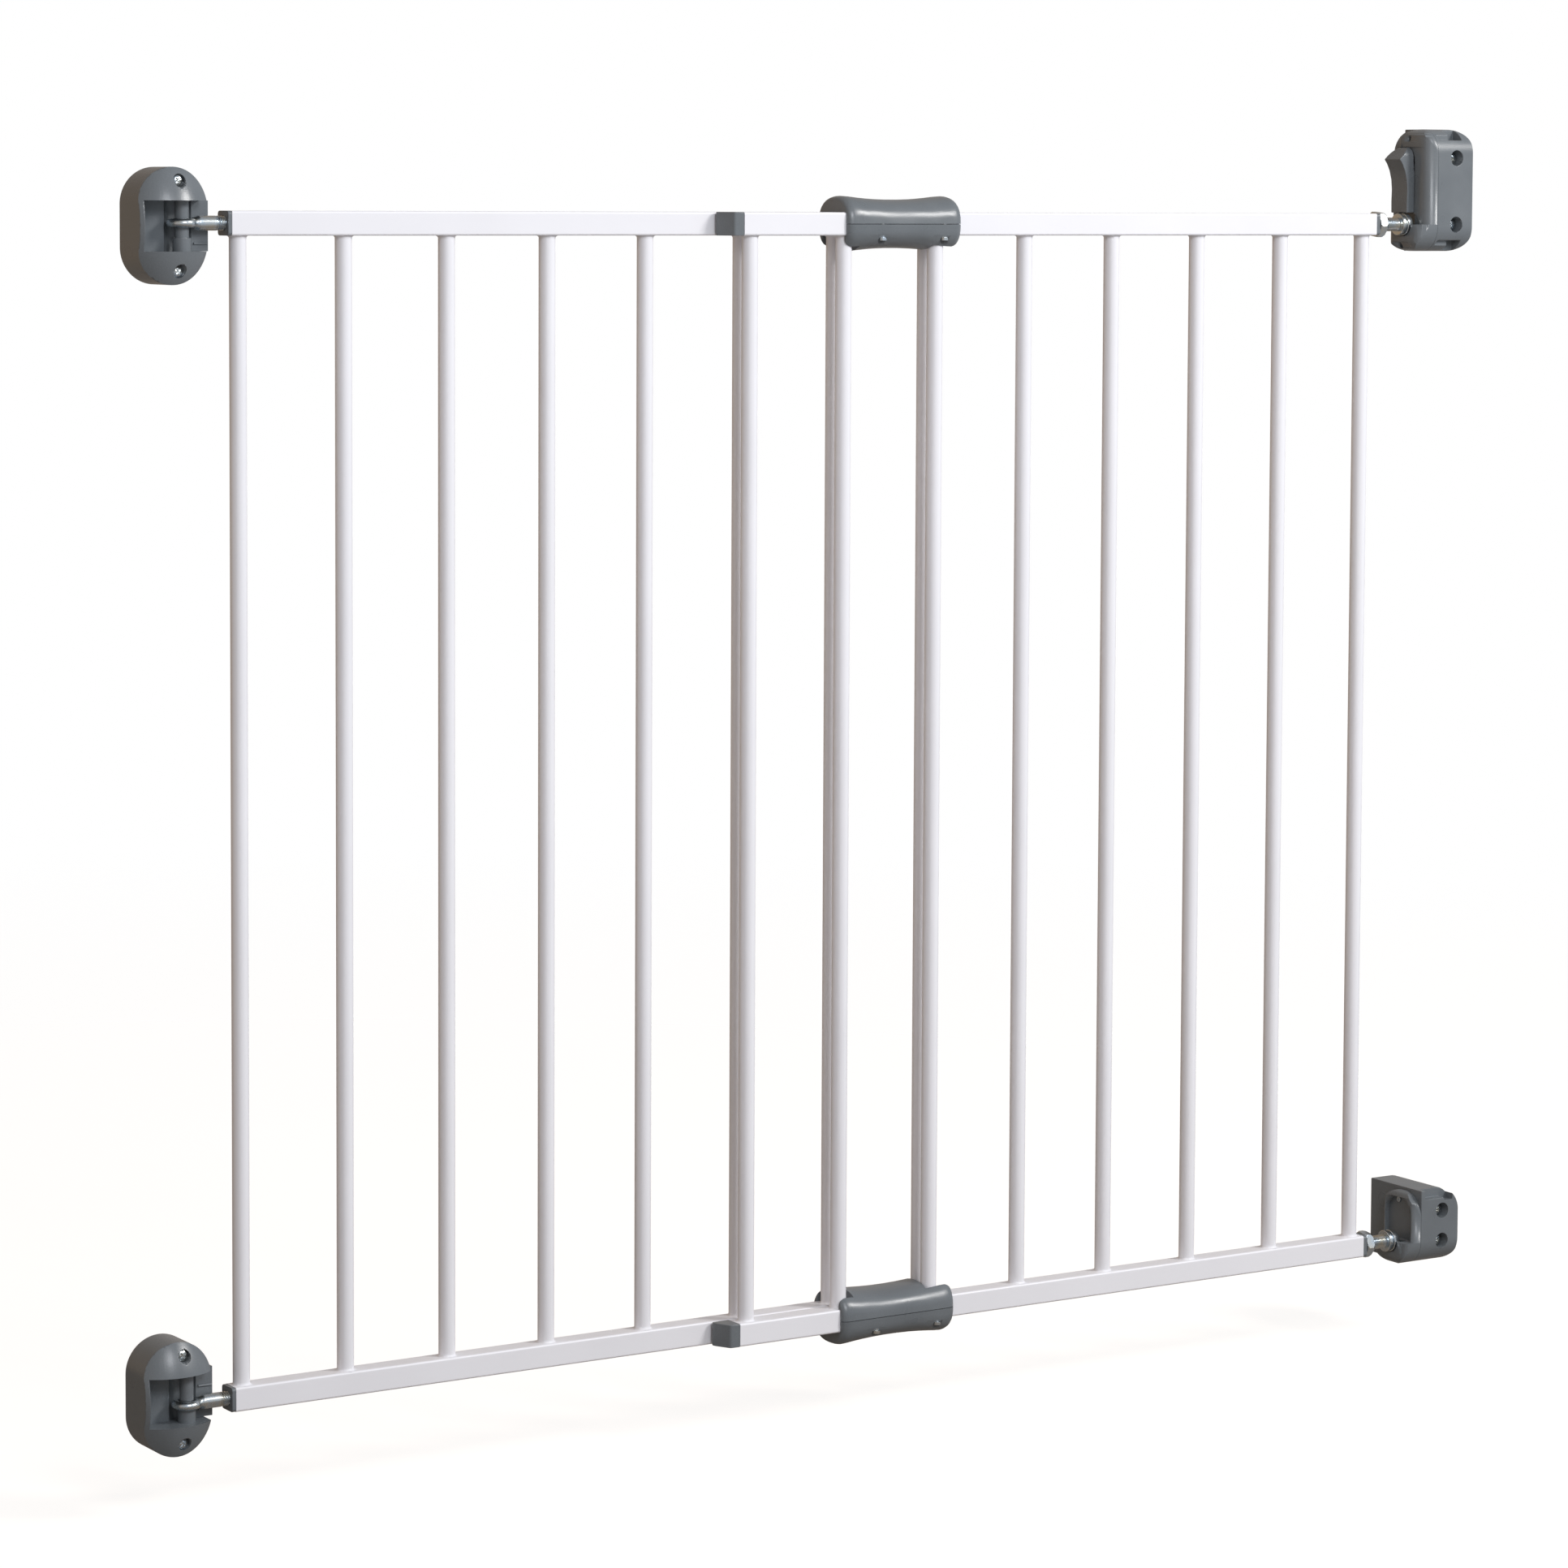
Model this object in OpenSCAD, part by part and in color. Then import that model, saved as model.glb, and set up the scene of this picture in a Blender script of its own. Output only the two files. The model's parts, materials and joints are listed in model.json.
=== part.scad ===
// Wall-mounted extending safety gate: two sliding bar panels, a lift-and-swing hinge and a stud latch.
// Origin: centre of the lower hinge bracket's two screws, on the wall plane. +X runs along the gate
// from hinge to latch, +Y points into the wall, +Z is up. Millimetres.

/* [Gate] */
// Height of a panel, from the bottom of its bottom rail to the top of its top rail
gate_h = 730; // [650:1:800]
// Outside width of the square rail tube
tube = 15; // [14:0.5:16]
// Wall of the rail tube
tube_wall = 1.1; // [0.8:0.1:1.5]
// Outside corner radius of the rail tube
tube_corner = 1.4; // [0.8:0.1:2.5]
// Diameter of the round bars
bar_d = 10.5; // [9:0.5:11]
// Wall of the round bars
bar_wall = 0.8; // [0.6:0.1:1.2]
// Distance from one bar to the next
bar_pitch = 71; // [65:0.5:72]
// Length of rail beyond the first bar of a panel
rail_start = 7; // [6:0.5:9]
// Length of rail beyond the last bar of a panel
rail_end = 10; // [8:0.5:12]
// Distance of the latch panel's first bar from the hinge panel's first bar
panel_shift = 352; // [345:0.5:352]
// Gap between the two panels' rails
panel_gap = 1; // [0.6:0.1:2]

/* [Hinge brackets] */
// Distance from the wall to the middle of the hinge panel
wall_gap = 22; // [22:0.5:26]
// Width of a hinge bracket
bracket_w = 44.6; // [42:0.2:48]
// Height of a hinge bracket
bracket_h = 70.4; // [68:0.2:74]
// How far the middle of the bracket's face stands from the wall
bracket_depth = 37; // [35:0.5:40]
// Radius of the face's sideways curve
face_curve = 35; // [33:0.5:60]
// Radius of the face's upright curve
face_crown = 61; // [55:1:120]
// Height of the window in which the eye moves
window_h = 30.4; // [30:0.2:32]
// Distance between a bracket's two wall screws
hinge_screw_pitch = 54; // [52:0.5:56]
// How far the upper bracket's middle is below the top rail's middle
top_bracket_drop = 1.7; // [0:0.1:1.9]
// How far the lower bracket's middle is above the bottom rail's middle
low_bracket_rise = 4.5; // [4.5:0.1:5]
// Diameter of the hinge pin
pin_d = 8.4; // [8:0.1:8.8]
// Diameter of the step that carries the lower eye
step_d = 11; // [11:0.5:13]
// Height of the step above the window's lower edge
step_h = 8; // [7.6:0.1:8]

/* [Eye bolts and studs] */
// Outside diameter of an eye
eye_d = 18.4; // [17.5:0.1:19]
// Thickness of an eye along the pin
eye_t = 5.4; // [5:0.1:5.4]
// Diameter of an eye bolt's shank
shank_d = 9; // [8:0.1:9.4]
// Diameter of the latch studs
stud_d = 9.5; // [9:0.1:10]
// Diameter of a latch stud's head
head_d = 15; // [13:0.1:15.4]
// Width of the lock nuts across flats
nut_af = 16.5; // [15:0.1:17]

/* [Joiners] */
// Length of a joiner along the rails
joiner_l = 88; // [84:1:88]
// Depth of a joiner, front to back
joiner_d = 40; // [39:0.5:44]
// Height of a joiner at its two ends
joiner_h = 36.4; // [34:0.2:40]
// Height of a joiner in its middle
joiner_waist = 31.4; // [30:0.2:33]

/* [Latch brackets] */
// Height of the upper latch bracket
latch_h = 84.5; // [84:0.5:86]
// Height of the lower latch bracket
low_latch_h = 53; // [52:0.5:55]
// Width of the latch brackets' raised cover, along Y
cover_w = 37; // [36:0.5:38]
// Distance from the wall to the latch brackets' front
latch_depth = 56; // [56:0.5:58]
// Diameter of the recessed screw holes
well_d = 10.7; // [10:0.1:11]
// How far the gate and the latch slider lift
lift = 8.5; // [8.1:0.1:8.5]

/* [Hidden] */
$fn = 64;
white = [0.94, 0.94, 0.96];
grey = [0.36, 0.38, 0.4];
dark = [0.3, 0.31, 0.33];
zinc = [0.78, 0.8, 0.82];
// Number of bars in each panel
bars = 8;
// Planes of the two panels, and the heights of their rails
hinge_y = -wall_gap;
latch_y = hinge_y - tube - panel_gap;
low_z = -low_bracket_rise;
top_z = low_z + gate_h - tube;
top_bracket_z = top_z - top_bracket_drop;
// Pin, bars and rails along X
pin_x = 5;
bracket_x = -3;
bar_x = 41.7;
latch_bar_x = bar_x + panel_shift;
rail_l = rail_start + (bars - 1) * bar_pitch + rail_end;
rail_x = bar_x - rail_start;
latch_rail_x = latch_bar_x - rail_start - 1.5;
latch_end_x = latch_rail_x + rail_l - 1;
bar_l = gate_h - 2 * tube;
insert = tube - 2 * tube_wall - 0.2;
// Running clearance of a shaft in its hole, and free clearance between parts that pass
run = 0.05;
free = 0.35;
bush_r = pin_d / 2 + 1;
// Back of the window, and the round pocket behind the pin
window_floor = hinge_y + 6;
pocket_r = eye_d / 2 + 1.6;
hinge_head_y = hinge_y - 6.4;
// Closing stop behind the eye bolt's shank, on the open side of the window
stop_x = 18;
stop_w = 7;
stop_t = 7;
// Height of a wall screw's head in its diameters, and how much thinner its threaded part is
head_share = 0.36;
thread_relief = 0.25;
// Latch brackets: block, cover and lip along X
seam_x = 943.7;
block_end_x = seam_x + 31;
cover_x = seam_x - 9;
lip_x = cover_x - 7;
back_x = seam_x + 6;
low_back_x = seam_x - 2.5;
well_x = seam_x + 16.5;
front_y = -latch_depth;
cover_back_y = front_y + cover_w;
latch_bottom_z = top_z - 18.5;
latch_top_z = latch_bottom_z + latch_h;
low_latch_z = low_z - 16.5;
low_latch_top_z = low_latch_z + low_latch_h;
head_r = head_d / 2;
cup_r = head_r + 0.7;
cover_corner = 17;
upper_cover_end = seam_x - 0.15;
low_cover_end = low_back_x - 0.15;
latch_screw_y = front_y + 5;
latch_screw_head = 9;
well_floor = latch_screw_y + latch_screw_head * head_share + 0.01;
head_tip_x = cover_x - 0.45;
collar_x = head_tip_x - 12.1;
nut_x = latch_end_x + 3.4;
// Slider: its channel in the cover and its own edges
channel_y = [-41, -22.6];
channel_w = channel_y[1] - channel_y[0];
slider_y = [-40.5, -23.2];
slider_w = slider_y[1] - slider_y[0];
channel_top = latch_bottom_z + 72.5;
channel_depth = 4.5;
slider_bottom = top_z + head_r + 0.6;
slider_top = channel_top - 0.3;
joiner_x = bar_x + 464;
joiner_y = (hinge_y + latch_y) / 2;
joiner_screw_x = [-17, 31];
joiner_screw_y = joiner_d / 2 - 2.7;

// Lays a drawing in the Y-Z plane and extrudes it along +X from x
module along_x(x, l) {
    translate([x, 0, 0]) rotate([90, 0, 90]) linear_extrude(l) children();
}

// Lays a drawing in the X-Z plane and extrudes it along +Y from y
module along_y(y, l) {
    translate([0, y + l, 0]) rotate([90, 0, 0]) linear_extrude(l) children();
}

// Round rod along X
module rod_x(x, y, z, r, l) {
    translate([x, y, z]) rotate([0, 90, 0]) cylinder(r = r, h = l);
}

// Round rod along Y
module rod_y(x, y, z, r, l) {
    translate([x, y, z]) rotate([-90, 0, 0]) cylinder(r = r, h = l);
}

// Rectangle with round corners, centred
module round_rect(w, h, r) {
    square([w - 2 * r, h], center = true);
    square([w, h - 2 * r], center = true);
    for (sx = [-1, 1], sy = [-1, 1])
        translate([sx * (w / 2 - r), sy * (h / 2 - r)]) circle(r);
}

// Square tube along X
module rail(x, y, z, l) {
    color(white) along_x(x, l) translate([y, z]) difference() {
        round_rect(tube, tube, tube_corner);
        round_rect(tube - 2 * tube_wall, tube - 2 * tube_wall, tube_corner / 2);
    }
}

// Upright round tube between the two rails
module bar(x, y) {
    color(white) translate([x, y, low_z + tube / 2]) difference() {
        cylinder(d = bar_d, h = bar_l);
        translate([0, 0, -1]) cylinder(d = bar_d - 2 * bar_wall, h = bar_l + 2);
    }
}

module hinge_rail(z) {
    rail(rail_x, hinge_y, z, rail_l);
}

module latch_rail(z) {
    rail(latch_rail_x, latch_y, z, latch_end_x - latch_rail_x);
}

module hinge_bar(i) {
    bar(bar_x + i * bar_pitch, hinge_y);
}

module latch_bar(i) {
    bar(latch_bar_x + i * bar_pitch, latch_y);
}

// Pan-head cross-recess screw along +Y, with the top of its head at y. Behind the wall plane it is thinner.
module wall_screw(x, y, z, head, shank, l) {
    head_t = head * head_share;
    thread_r = shank / 2 - thread_relief;
    difference() {
        union() {
            intersection() {
                rod_y(x, y, z, head / 2, head_t);
                translate([x, y + head * 0.75, z]) sphere(head * 0.75);
            }
            rod_y(x, y + head_t, z, shank / 2, -y - head_t);
            rod_y(x, 0, z, thread_r, y + l - thread_r);
            translate([x, y + l - thread_r, z]) rotate([-90, 0, 0])
                cylinder(r1 = thread_r, r2 = 0.4, h = thread_r);
        }
        for (a = [45, 135])
            translate([x, y, z]) rotate([0, a, 0])
                cube([head * 0.56, head * 0.36, head * 0.13], center = true);
    }
}

// Outline of a hinge bracket as seen from the front
module bracket_outline(z) {
    translate([bracket_x, z]) {
        square([bracket_w, bracket_h - bracket_w], center = true);
        for (s = [-1, 1]) translate([0, s * (bracket_h - bracket_w) / 2]) circle(bracket_w / 2);
    }
}

// Barrel that gives the bracket's face its double curve
module barrel(z) {
    translate([bracket_x, face_curve - bracket_depth, z]) rotate_extrude($fn = 96) intersection() {
        translate([face_curve - face_crown, 0]) circle(face_crown, $fn = 160);
        translate([0, -bracket_h]) square([face_curve + 1, 2 * bracket_h]);
    }
}

module hinge_housing(z) {
    wall = 2.6;
    low = z - window_h / 2;
    left = bracket_x - bracket_w / 2;
    color(grey) {
        difference() {
            intersection() {
                along_y(-bracket_depth - 1, bracket_depth + 1) bracket_outline(z);
                barrel(z);
            }
            translate([left + wall, -bracket_depth - 2, low])
                cube([bracket_w, window_floor + bracket_depth + 2, window_h]);
            translate([pin_x, hinge_y, low]) cylinder(r = pocket_r, h = window_h);
            translate([pin_x, hinge_y, low - 6]) cylinder(d = step_d, h = 7);
            translate([pin_x, hinge_y, low + window_h - 1]) cylinder(d = pin_d, h = 7);
            for (s = [-1, 1]) {
                rod_y(0, -bracket_depth - 1, z + s * hinge_screw_pitch / 2, 4.1,
                    bracket_depth + 1 + hinge_head_y + 2.6);
                rod_y(0, hinge_head_y, z + s * hinge_screw_pitch / 2, 2.1, -hinge_head_y + 1);
            }
        }
        translate([stop_x, window_floor, low]) cube([stop_w, stop_t, window_h]);
        for (h = [4.2, 19])
            translate([pin_x + pocket_r - 0.4, window_floor - 1, low + h]) cube([9, 1.5, 0.9]);
    }
}

module hinge_pin(z) {
    low = z - window_h / 2;
    color(grey) translate([pin_x, hinge_y, low]) {
        translate([0, 0, -6]) cylinder(d = step_d, h = step_h + 6);
        cylinder(d = pin_d, h = window_h + 6);
    }
}

module hinge_screws(z) {
    color(zinc) for (s = [-1, 1])
        wall_screw(0, hinge_head_y, z + s * hinge_screw_pitch / 2, 7.2, 4.2, 40);
}

module eye_bush(z) {
    color(dark) translate([pin_x, hinge_y, z - eye_t / 2]) difference() {
        cylinder(r = bush_r, h = eye_t);
        translate([0, 0, -1]) cylinder(r = pin_d / 2 + run, h = eye_t + 2);
    }
}

// Eye bolt: a round-edged eye on the pin, a plain neck and a shank that ends inside the rail
module eye_bolt(z) {
    edge_r = eye_t / 2;
    neck_x = pin_x + eye_d / 2 - 1.6;
    color(zinc) translate([0, 0, z]) {
        translate([pin_x, hinge_y, 0]) rotate_extrude($fn = 96) difference() {
            union() {
                translate([eye_d / 2 - edge_r, 0]) circle(edge_r);
                translate([bush_r + run, -edge_r]) square([eye_d / 2 - edge_r - bush_r, eye_t]);
            }
            translate([0, -edge_r - 1]) square([bush_r + run, eye_t + 2]);
        }
        difference() {
            union() {
                rod_x(neck_x + 3, hinge_y, 0, shank_d / 2, rail_x + 14 - neck_x - 3);
                translate([neck_x - 2, hinge_y, 0]) rotate([0, 90, 0])
                    cylinder(r1 = eye_t / 2, r2 = shank_d / 2, h = 5);
            }
            translate([pin_x, hinge_y, -shank_d]) cylinder(r = eye_d / 2 - 2, h = 2 * shank_d);
        }
    }
}

// Plug in the end of a rail: a flange outside and a hollow insert inside
module end_plug(x, y, z, dir, flange, bore_r) {
    color(grey) difference() {
        union() {
            along_x(dir > 0 ? x : x - flange, flange) translate([y, z]) round_rect(tube, tube, 2.2);
            along_x(dir > 0 ? x - 12 : x, 12) translate([y, z]) round_rect(insert, insert, 0.8);
        }
        rod_x(x - 20, y, z, bore_r, 40);
    }
}

module hinge_plug(z) {
    end_plug(rail_x, hinge_y, z, -1, 2.6, shank_d / 2);
}

module latch_plug(z) {
    end_plug(latch_end_x, latch_y, z, 1, 3.4, stud_d / 2 + run);
}

// Head of the sliding end: slanted outer face, insert inside the rail
module slide_cap(z) {
    x = latch_rail_x;
    f = latch_y - tube / 2;
    b = latch_y + tube / 2 - 0.2;
    outline = [[x, f], [x - 6, f], [x - 7.4, f + 0.6], [x - 8.2, f + 1.8], [x - 12.6, b - 4.4],
        [x - 13.2, b - 2], [x - 12.8, b - 0.6], [x - 11.6, b], [x, b]];
    color(grey) {
        translate([0, 0, z - tube / 2]) linear_extrude(tube) polygon(outline);
        along_x(x, 12) translate([latch_y, z]) round_rect(insert, insert, 0.8);
    }
}

// Hexagonal lock nut with chamfered corners
module lock_nut(z) {
    t = 6;
    corner = nut_af / 2 / cos(30);
    color(zinc) translate([nut_x, latch_y, z]) rotate([0, 90, 0]) difference() {
        intersection() {
            rotate([0, 0, 98]) cylinder(r = corner, h = t, $fn = 6);
            translate([0, 0, -1]) cylinder(r1 = corner + 2.4, r2 = corner - 0.9, h = t + 1);
            cylinder(r1 = corner - 0.9, r2 = corner + 4.6, h = t);
        }
        translate([0, 0, -1]) cylinder(r = stud_d / 2 + run, h = t + 2);
    }
}

// Latch stud, turned as one piece: shank inside the rail, a collar, a groove and a domed head
module stud(z) {
    root_x = latch_end_x - 42;
    collar = collar_x - root_x;
    tip = head_tip_x - root_x;
    color(zinc) translate([root_x, latch_y, z]) rotate([0, 90, 0]) rotate_extrude($fn = 96) {
        square([stud_d / 2, collar + 1]);
        translate([0, collar]) square([head_r, 2.8]);
        translate([0, collar + 2]) square([head_r - 1.6, 3]);
        intersection() {
            translate([0, collar + 4]) square([head_r, 9]);
            translate([0, tip - 8.5]) circle(8.5);
        }
    }
}

// One ring of a joiner's skin: a rounded section whose height dips in the middle
function end_round(t) = 1 - 0.17 * (1 - sqrt(max(0, 1 - t * t)));
skin_flat = joiner_l / 2 - 6;
function skin_z(x) = joiner_waist / 2
    + (joiner_h - joiner_waist) / 2 * pow(min(abs(x), skin_flat) / skin_flat, 2);
function round_at(x) = end_round(max(0, (abs(x) - joiner_l / 2 + 7) / 7));
function power(v, e) = sign(v) * pow(abs(v), e);
half_stations = [5, 14, 22, 29, 35, 39, 41, 42.6, 43.6, 44];
stations = concat([for (i = [9 : -1 : 0]) -half_stations[i]], half_stations) * joiner_l / 88;
ring_n = 36;
skin_points = [for (x = stations) for (i = [0 : ring_n - 1])
    let (a = i * 360 / ring_n)
    [x, joiner_d / 2 * round_at(x) * power(cos(a), 0.82), skin_z(x) * round_at(x) * power(sin(a), 0.82)]];
skin_sides = [for (s = [0 : len(stations) - 2]) for (i = [0 : ring_n - 1])
    let (a = s * ring_n + i, b = s * ring_n + (i + 1) % ring_n)
    [a, b, b + ring_n, a + ring_n]];
skin_start = [for (i = [0 : ring_n - 1]) ring_n - 1 - i];
skin_end = [for (i = [0 : ring_n - 1]) (len(stations) - 1) * ring_n + i];

// Solid joiner around the rails at height z
module joiner_skin() {
    polyhedron(points = skin_points, faces = concat(skin_sides, [skin_start, skin_end]), convexity = 4);
}

// Spaces for the rails, the bars and the screws of a joiner. up is 1 when the bars leave upwards.
// Each end has one open notch for its pair of bars; the rails lie in a common channel.
module joiner_spaces(up) {
    l = joiner_l + 4;
    h = joiner_h;
    fit = 0.1;
    notch_y = latch_y - joiner_y - bar_d / 2 - 0.4;
    notch_w = hinge_y - latch_y + bar_d + 0.8;
    left_end = bar_x + 6 * bar_pitch - joiner_x + bar_d / 2 + 0.4;
    right_start = latch_bar_x + 2 * bar_pitch - joiner_x - bar_d / 2 - 0.4;
    translate([-l / 2, hinge_y - joiner_y - tube / 2 - fit, -tube / 2 - fit])
        cube([l - 2.9, tube + 2 * fit, tube + 2 * fit]);
    translate([-l / 2, latch_y - joiner_y - tube / 2 - fit, -tube / 2 - fit])
        cube([l, tube + 2 * fit, tube + 2 * fit]);
    translate([-l / 2, notch_y, up > 0 ? 3 : -h]) cube([l / 2 + left_end, notch_w, h - 3]);
    translate([right_start, notch_y, up > 0 ? 3 : -h]) cube([l, notch_w, h - 3]);
    for (x = joiner_screw_x, s = [-1, 1]) {
        translate([x, s * joiner_screw_y, -h]) cylinder(r = 3.1, h = h - tube / 2 - 1.2);
        translate([x, s * joiner_screw_y, -h]) cylinder(r = 1.3, h = h + 5);
    }
}

module joiner_half(z, up, side) {
    color(grey) translate([joiner_x, joiner_y, z]) difference() {
        intersection() {
            joiner_skin();
            translate([-joiner_l, -joiner_d, side > 0 ? 0.2 : -joiner_h])
                cube([2 * joiner_l, 2 * joiner_d, side > 0 ? joiner_h : joiner_h - 0.2]);
        }
        joiner_spaces(up);
    }
}

// Screws that close a joiner from below, in front of and behind the rails
module joiner_screws(z) {
    color(zinc) for (x = joiner_screw_x, s = [-1, 1])
        translate([joiner_x + x, joiner_y + s * joiner_screw_y, z]) difference() {
            union() {
                translate([0, 0, -tube / 2 - 3.1]) cylinder(r = 2.6, h = 1.9);
                translate([0, 0, -tube / 2 - 1.3]) cylinder(r = 1.3, h = tube / 2 + 5.8);
            }
            for (a = [0, 90])
                translate([0, 0, -tube / 2 - 3.1]) rotate([0, 0, a]) cube([2.9, 0.7, 2], center = true);
        }
}

// What is cut off an outline's corner to round it: turn is 0, 90, 180 or -90 from the upper right one on
module corner_cut(x, z, r, turn) {
    translate([x, z]) rotate(turn) translate([-r, -r]) difference() {
        square(r + 1);
        circle(r);
    }
}

// Side outline of a latch block: near corners of radius r_near, far ones of r_low and r_top
module block_outline(x0, z0, z1, r_near, r_low, r_top) {
    difference() {
        translate([x0, z0]) square([block_end_x - x0, z1 - z0]);
        corner_cut(block_end_x, z1, r_top, 0);
        corner_cut(block_end_x, z0, r_low, -90);
        if (r_near > 0) {
            corner_cut(x0, z1, r_near, 90);
            corner_cut(x0, z0, r_near, 180);
        }
    }
}

// Stepped well for a wall screw
module screw_well(z) {
    rod_y(well_x, front_y - 1, z, well_d / 2, well_floor - front_y + 1);
    rod_y(well_x, front_y, z, 2.6, latch_depth + 1);
}

module latch_top_block() {
    notch = 7.6;
    color(grey) difference() {
        union() {
            along_y(front_y, cover_w) block_outline(seam_x, latch_bottom_z, latch_top_z, 0, 11, 11);
            along_y(cover_back_y - 1, latch_depth - cover_w + 1)
                block_outline(back_x, latch_bottom_z, latch_top_z, cover_corner, 11, 11);
        }
        along_x(seam_x - 1, block_end_x - seam_x + 2) {
            corner_cut(front_y, latch_top_z, cover_corner, 90);
            corner_cut(front_y, latch_bottom_z, cover_corner, 180);
        }
        for (h = [18.5, 64.5]) screw_well(latch_bottom_z + h);
        for (z = [latch_bottom_z - 1, latch_top_z - notch]) {
            translate([seam_x + 2.4, front_y - 1, z]) cube([12, 7, notch + 1]);
            translate([seam_x + 13, front_y - 1, z]) cube([10, 14, notch + 1]);
        }
    }
}

module latch_bottom_block() {
    color(grey) difference() {
        along_y(front_y, latch_depth) block_outline(low_back_x, low_latch_z, low_latch_top_z, 0, 9, 16);
        along_x(low_back_x - 1, block_end_x - low_back_x + 2)
            corner_cut(front_y, low_latch_z, cover_corner, 180);
        for (h = [16, 37.5]) screw_well(low_latch_z + h);
        translate([low_back_x + 3.4, front_y - 1, low_latch_top_z - 6.4]) cube([18.4, 7, 8]);
        translate([seam_x + 18, front_y - 1, low_latch_top_z - 8.4]) cube([7.5, 9, 9]);
    }
}

module latch_screws(z0, heights) {
    color(zinc) for (h = heights)
        wall_screw(well_x, latch_screw_y, z0 + h, latch_screw_head, 4.6, 59);
}

// Side outline of a cover: rounded by r at its foot and top, with the lip below the stud's axis
module cover_profile(x1, z0, z1, axis_z, r) {
    translate([lip_x, z0 + r]) square([x1 - lip_x, axis_z - z0 - r]);
    translate([lip_x + r, z0]) square([x1 - lip_x - r, r + 1]);
    translate([lip_x + r, z0 + r]) circle(r);
    translate([cover_x, axis_z - 1]) square([x1 - cover_x, z1 - axis_z + 1 - r]);
    translate([cover_x + r, z1 - r - 1]) square([x1 - cover_x - r, r + 1]);
    translate([cover_x + r, z1 - r]) circle(r);
}

// What is cut off an upright edge of a cover at x to round it by r; side is 1 at the front edge
module edge_cutter(x, side, z0, z1, r) {
    y = side > 0 ? front_y : cover_back_y;
    translate([x, y, z0]) linear_extrude(z1 - z0) difference() {
        translate([-1, side > 0 ? -1 : -r]) square([r + 1, r + 1]);
        translate([r, side * r]) circle(r);
    }
}

// Raised cover with the lip that stands out under the stud's head. Its edge is as round as it is deep.
module cover_body(x1, z0, z1, axis_z) {
    r = x1 - cover_x - 0.05;
    difference() {
        intersection() {
            along_x(lip_x - 1, x1 - lip_x + 1)
                translate([(front_y + cover_back_y) / 2, (z0 + z1) / 2])
                    round_rect(cover_w, z1 - z0, cover_corner);
            along_y(front_y - 1, cover_w + 2) cover_profile(x1, z0, z1, axis_z, r);
        }
        for (side = [-1, 1]) {
            edge_cutter(lip_x, side, z0 - 1, axis_z, r);
            edge_cutter(cover_x, side, axis_z - 0.01, z1 + 1, r);
        }
    }
}

// Wells of the two small screws that close a cover
module cover_well(y, z) {
    rod_x(lip_x - 1, y, z, 2.2, seam_x - lip_x - 3);
}

module cover_screw(y, z) {
    color(zinc) difference() {
        rod_x(seam_x - 5.6, y, z, 1.9, 1.6);
        for (a = [0, 90])
            translate([seam_x - 5.6, y, z]) rotate([a, 0, 0]) cube([1.8, 2.3, 0.6], center = true);
    }
}

module latch_top_cover() {
    color(grey) difference() {
        cover_body(upper_cover_end, latch_bottom_z, latch_top_z, top_z);
        along_x(cover_x - 1, channel_depth + 1) {
            translate([channel_y[0], top_z - 1])
                square([channel_w, channel_top - top_z + 1 - channel_w / 2]);
            translate([channel_y[0] + channel_w / 2, channel_top - channel_w / 2]) circle(channel_w / 2);
        }
        rod_x(lip_x - 1, latch_y, top_z, cup_r, cover_x - lip_x + 1.6);
        cover_well(-34, latch_top_z - 6.5);
        cover_well(-33.5, latch_bottom_z + 4.2);
    }
}

module latch_top_cover_screws() {
    cover_screw(-34, latch_top_z - 6.5);
    cover_screw(-33.5, latch_bottom_z + 4.2);
}

module latch_bottom_cover() {
    arch_r = 13;
    rim = 4.2;
    y0 = front_y + rim;
    y1 = cover_back_y - rim;
    top = low_latch_top_z - 2 - rim;
    color(grey) difference() {
        cover_body(low_cover_end, low_latch_z, low_latch_top_z - 2, low_z);
        along_x(cover_x - 1, 5.2) {
            translate([y0, low_z]) square([y1 - y0, top - low_z - arch_r]);
            translate([y0 + arch_r, low_z]) square([y1 - y0 - 2 * arch_r, top - low_z]);
            for (y = [y0 + arch_r, y1 - arch_r]) translate([y, top - arch_r]) circle(arch_r);
        }
        rod_x(lip_x - 1, latch_y, low_z, cup_r, cover_x - lip_x + 4);
        cover_well(-34.5, low_latch_top_z - 9);
    }
}

module latch_bottom_cover_screws() {
    cover_screw(-34.5, low_latch_top_z - 9);
}

// Slider: side outline with a thumb crest and a hollow under it, cut away at its lower front corner
module latch_slider() {
    b = slider_bottom;
    t = slider_top;
    c = cover_x;
    outer = [[c - 0.35, b], [c - 6, b], [c - 6.1, b + 8], [c - 5.8, b + 16], [c - 6.4, b + 23],
        [c - 8, b + 29], [c - 10.2, b + 33.6], [c - 12.7, b + 37], [c - 9, b + 40.4],
        [c - 4, b + 44.8], [c - 0.35, t]];
    color(grey) {
        difference() {
            along_y(slider_y[0], slider_w) polygon(outer);
            translate([c - 8, slider_y[0] - 0.01, b - 1]) rotate([0, 0, -26])
                translate([-6, -9, 0]) cube([12, 9, 14]);
            for (y = [slider_y[0], slider_y[1]])
                translate([c - 14, y, t - 7]) difference() {
                    translate([0, y == slider_y[0] ? -1 : -7, 0]) cube([15, 8, 8]);
                    translate([-1, y == slider_y[0] ? 7 : -7, 0]) rotate([0, 90, 0]) cylinder(r = 7, h = 17);
                }
        }
        along_x(c - 0.36, channel_depth) {
            translate([slider_y[0], b]) square([slider_w, t - lift - slider_w / 2 - b]);
            translate([slider_y[0] + slider_w / 2, t - lift - slider_w / 2]) circle(slider_w / 2);
        }
    }
}

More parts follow.
